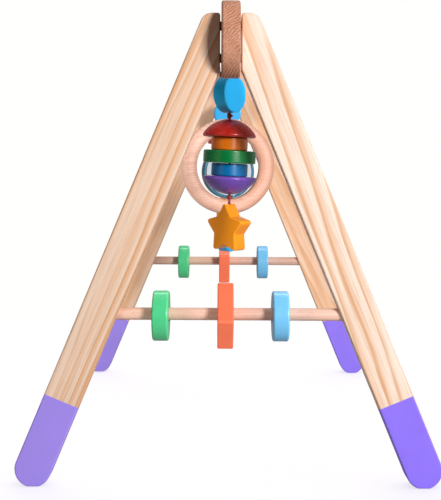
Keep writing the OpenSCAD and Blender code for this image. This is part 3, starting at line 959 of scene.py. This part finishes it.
def build_dome(node):
    """A dome threaded on the cord; its flat side tells which way it points."""
    flat = flat_normal(node)
    matrix, size = own_frame(node, -flat)
    section = dome_section(size.x / 2, size.z, DOME_EDGE, CORD_HOLE)
    thing = solid(node + "_dome", lathe(section), matrix)
    finish_piece(thing, [node], Vector((1, 0.4, 0)), UP, matrix.translation + Vector((0.1, 0.06, 0.1)))


def build_star(node):
    """The star, with its cord hole and the recess that hides the last knot."""
    matrix, size = own_frame(node, FORWARD)
    outline = flat_outline(node, matrix, size.z / 2)
    thing = soften(solid(node + "_star", prism(outline, size.z), matrix), STAR_EDGE)
    carve(thing, cord_bore(matrix.translation, 2 * size.y), knot_recess(node))
    pith = matrix.translation + Vector((0.08, 0.1, 0))
    finish_piece(thing, [node], matrix.to_3x3() @ Vector((0.5, 1, 0)), FORWARD, pith)


def cord_knots(node):
    """Heights of the lower cord's knots that belong with a node's pendant, from the top down."""
    cord = node.split("_")[0] + "_lower_cord"
    points = cad_points(cord)
    middle = (points.min(0) + points.max(0)) / 2
    reach = np.hypot(points[:, 0] - middle[0], points[:, 1] - middle[1])
    wide = np.unique(np.round(points[reach > reach.max() * 0.97][:, 2], 4))
    groups = np.split(wide, np.where(np.diff(wide) > 4 * MM)[0] + 1)
    return sorted((float(group.mean()) for group in groups), reverse=True)


def build_cords(end):
    """A pendant's two lengths of cord, with their loop and knots."""
    upper, lower = end + "_upper_cord", end + "_lower_cord"
    bar = Vector(joint_of(upper)["pos_m"])
    hinge = Vector(joint_of(lower)["pos_m"])
    loop_low, loop_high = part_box(upper)
    loop = (loop_high.x - loop_low.x) / 2 - CORD_RADIUS
    below_loop = 2.2 * MM
    tie = bar - UP * (loop + CORD_RADIUS + below_loop)
    shapes = [cord_loop(bar, loop), cord_knot(tie, TIE_RADIUS), cord_knot(hinge, KNOT_RADIUS)]
    shapes.append(straight_cord(bar.x, bar.y, bar.z - loop, hinge.z))
    thing = solid(upper + "_twist", joined(shapes))
    finish_piece(thing, [upper], UP, FORWARD, bar)
    knots = cord_knots(lower)
    shapes = [straight_cord(hinge.x, hinge.y, hinge.z, knots[-1])]
    shapes += [cord_knot((hinge.x, hinge.y, knot), KNOT_RADIUS) for knot in knots]
    thing = solid(lower + "_twist", joined(shapes))
    finish_piece(thing, [lower], UP, FORWARD, hinge)


for end in ("front", "back"):
    build_cords(end)
    build_end_disc(end + "_top_disc")
    for name in ("_orange_disc", "_green_disc", "_blue_disc"):
        build_bead(end + name)
    for name in ("_red_dome", "_purple_dome"):
        build_dome(end + name)
    build_star(end + "_star")


def build_ring():
    """The hanging ring, with a cord hole through its top and bottom, and painted shade that darkens and
    warms it towards its right.
    """
    matrix, size = own_frame("ring", FORWARD)
    turn = np.array(matrix.to_3x3())
    local = (cad_points("ring") - np.array(matrix.translation)) @ turn
    inner = np.hypot(local[:, 0], local[:, 1]).min()
    section = rounded_section(inner, size.x / 2, size.z, RING_EDGE, RING_EDGE, steps=8)
    thing = solid("ring_hoop", lathe(section, steps=160), matrix)
    carve(thing, cord_bore(matrix.translation, 2 * size.y))
    low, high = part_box("ring")
    # The tone rises from left to right across the ring: painted shade on its right, where the key lamp
    # lights it most strongly.
    right_shade = [(vert.co.x - low.x) / (high.x - low.x) for vert in thing.data.vertices]
    pith = matrix.translation + Vector((0, 0.05, -0.16))
    finish_piece(thing, ["ring"], matrix.to_3x3() @ Vector((1, 0.1, 0)), UP, pith, right_shade)


def build_mirror():
    """The mirror's holder with a recess in each face, and its two plates."""
    matrix, size = own_frame("mirror_holder", FORWARD)
    half = size.z / 2
    radius = size.x / 2
    recess = radius - MIRROR_INSET
    rim = arc((radius - DISC_EDGE, DISC_EDGE - half), DISC_EDGE, -90, 0)
    rim += arc((radius - DISC_EDGE, half - DISC_EDGE), DISC_EDGE, 0, 90)
    lip = 0.5 * MM
    section = [(recess, MIRROR_RECESS - half), (recess, lip - half)] + [(recess + lip, -half)] + rim
    section += [(recess + lip, half), (recess, half - lip), (recess, half - MIRROR_RECESS)]
    thing = solid("mirror_holder_disc", lathe(section, closed=False), matrix)
    carve(thing, cord_bore(matrix.translation, 2 * size.y))
    finish_piece(thing, ["mirror_holder"], matrix.to_3x3() @ Vector((1, 0.4, 0)), UP, matrix.translation)
    plate_r = recess - 0.3 * MM
    plate_middle = half - MIRROR_RECESS + 1.05 * MM
    plate = lathe(rounded_section(0, plate_r, 2 * MM, 0.5 * MM, steps=3), closed=False)
    offsets = (Matrix.Translation((0, 0, side * plate_middle)) for side in (-1, 1))
    plates = [moved(plate, matrix @ offset) for offset in offsets]
    thing = solid("mirror_plates_pair", joined(plates))
    finish_piece(thing, ["mirror_plates"], matrix.to_3x3() @ Vector((1, 0.4, 0)), UP, matrix.translation)


build_cords("middle")
build_end_disc("middle_top_disc")
build_end_disc("middle_bottom_disc")
build_ring()
build_mirror()


# ---------------------------------------------------------------- floor, light and camera


def build_floor():
    """A pale matt floor that fades into the white surroundings.

    The camera sees it glow, so that only soft contact shadows show; other rays see plainer paper.
    """
    made, nodes = material("floor_paper")
    place = nodes.add("ShaderNodeTexCoord").outputs["Object"]
    tooth = nodes.noise(place, (300, 300, 300), 2.0)
    pale = nodes.mix(tooth, linear("E4E0E8"), linear("E7E5EA"))
    seen = nodes.add("ShaderNodeLightPath").outputs["Is Camera Ray"]
    colour = nodes.mix(seen, (0.5, 0.49, 0.48, 1.0), pale)
    glow = {"Emission Color": (1.0, 1.0, 0.99, 1.0), "Emission Strength": nodes.blend(seen, 0.12, 0.68)}
    paper = nodes.surface(colour, 0.9, tooth, 0.05 * MM, **glow)
    reach = nodes.add("ShaderNodeVectorMath", {0: place}, operation="LENGTH").outputs["Value"]
    clear = nodes.add("ShaderNodeBsdfTransparent").outputs[0]
    faded = nodes.add("ShaderNodeMixShader", {0: nodes.span(reach, 0.45, 0.9), 1: paper, 2: clear})
    nodes.output(faded.outputs[0])
    sheet = prism([(-1, -1), (1, -1), (1, 1), (-1, 1)], 2 * MM)
    floor = solid("floor", sheet, Matrix.Translation((0, 0, -1.2 * MM)))
    floor.data.materials.append(made)


def build_world():
    """White studio surroundings, which light the gym from behind, above and the sides.

    Reflections see them dimmer, with a pale card on the camera's right that shows in the mirror.
    """
    world = bpy.data.worlds.new("studio")
    bpy.context.scene.world = world
    world.use_nodes = True
    nodes = Nodes(world.node_tree)
    heading = nodes.add("ShaderNodeTexCoord").outputs["Generated"]
    split = nodes.add("ShaderNodeSeparateXYZ", {0: heading}).outputs
    low = nodes.span(split[2], 0.55, 0.1)
    left = nodes.math("MULTIPLY", nodes.span(split[0], -0.55, -0.9, 0.0, 0.25), low)
    card = nodes.math("MULTIPLY", nodes.span(split[0], 0.15, 0.25), nodes.span(split[0], 0.9, 0.8))
    card = nodes.math("MULTIPLY", card, nodes.span(split[1], -0.4, -0.5, 0.0, 0.8))
    card = nodes.math("MULTIPLY", card, nodes.span(nodes.math("ABSOLUTE", split[2]), 0.35, 0.25))
    level = nodes.math("ADD", 0.06, nodes.span(split[1], 0.1, 0.9, 0.0, 0.8))
    level = nodes.math("ADD", level, nodes.span(split[0], 0.5, 0.9, 0.0, 0.6))
    level = nodes.math("ADD", level, nodes.span(split[2], 0.5, 0.95, 0.0, 0.35))
    level = nodes.math("ADD", level, left)
    glossy = nodes.add("ShaderNodeLightPath").outputs["Is Glossy Ray"]
    level = nodes.math("MULTIPLY", level, nodes.blend(glossy, 1.0, 0.3))
    level = nodes.math("ADD", level, nodes.math("MULTIPLY", card, glossy))
    lighting = nodes.add("ShaderNodeBackground", {"Color": (1.0, 0.99, 0.985, 1.0), "Strength": level})
    white = nodes.add("ShaderNodeBackground", {"Color": (1.0, 1.0, 0.985, 1.0), "Strength": 1.0})
    seen = nodes.add("ShaderNodeLightPath").outputs["Is Camera Ray"]
    mixed = nodes.add("ShaderNodeMixShader", {0: seen, 1: lighting.outputs[0], 2: white.outputs[0]})
    nodes.add("ShaderNodeOutputWorld", {"Surface": mixed.outputs[0]})


def build_lamp(name, place, target, size, power, words, shine=False, through=False):
    """A soft box facing a target, for the pieces whose names hold one of the words.

    It shows in their reflections if shine is set, and passes through all other pieces if through is set.
    """
    lamp = bpy.data.lights.new(name, "AREA")
    lamp.shape = "RECTANGLE"
    lamp.size, lamp.size_y = size
    lamp.energy = power
    light = bpy.data.objects.new(name, lamp)
    light.location = place
    light.rotation_euler = (Vector(target) - Vector(place)).to_track_quat("-Z", "Y").to_euler()
    light.visible_glossy = shine
    bpy.context.scene.collection.objects.link(light)
    lit = bpy.data.collections.new(name + "_lit")
    for thing in list(bpy.context.scene.objects):
        if thing.type == "MESH" and any(word in thing.name for word in words):
            lit.objects.link(thing)
    light.light_linking.receiver_collection = lit
    if through:
        light.light_linking.blocker_collection = lit


def build_lamps():
    """A key from the front right, a soft lamp above, and fills for the pieces that these leave dark.

    Every piece's name has an underscore in it and the floor's has none, so the lamps leave the floor out.
    """
    pieces = ("_",)
    toys = ("star", "bead", "dome", "ring", "front_crossbar")
    back_legs = ("back_left", "back_right")
    build_lamp("key", (1.0, -1.83, 0.82), (0, -0.25, 0.3), (0.45, 0.5), 40, pieces, shine=True)
    build_lamp("top", (0.0, 0.45, 1.75), (0, 0, 0.25), (1.2, 0.9), 7, pieces)
    build_lamp("rim", (0.0, 0.9, 1.5), (0, -0.2, 0.18), (1.2, 0.3), 6, ("slider",), shine=True)
    build_lamp("left", (-1.5, -1.3, 0.3), (0, -0.2, 0.27), (0.5, 0.6), 13, toys)
    build_lamp("ring_fill", (-1.2, -1.2, 0.4), (0, 0, 0.33), (0.5, 0.6), 9, ("ring",))
    build_lamp("under", (0.0, -0.9, -0.6), (0, -0.2, 0.17), (0.6, 0.5), 3.4, ("red_slider",), through=True)
    build_lamp("rear", (-0.9, -1.4, 0.35), (0, 0.25, 0.2), (0.6, 0.6), 12, back_legs)
    build_lamp("right", (1.7, -0.8, 0.45), (0, -0.1, 0.4), (0.5, 0.6), 20, ("front_top_disc",))


def build_camera():
    """The camera, level, looking in at the front frame from above the middle of the gym."""
    front_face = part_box("front_left_leg")[0].y
    lens = bpy.data.cameras.new("camera")
    lens.lens = CAMERA_LENS
    lens.shift_y = CAMERA_SHIFT
    camera = bpy.data.objects.new("camera", lens)
    camera.location = (CAMERA_SIDE, front_face - CAMERA_DISTANCE, CAMERA_HEIGHT)
    camera.rotation_euler = (math.radians(90), CAMERA_ROLL, 0)
    bpy.context.scene.collection.objects.link(camera)
    bpy.context.scene.camera = camera


build_floor()
build_world()
build_lamps()
build_camera()
bpy.context.scene.view_settings.view_transform = "Standard"
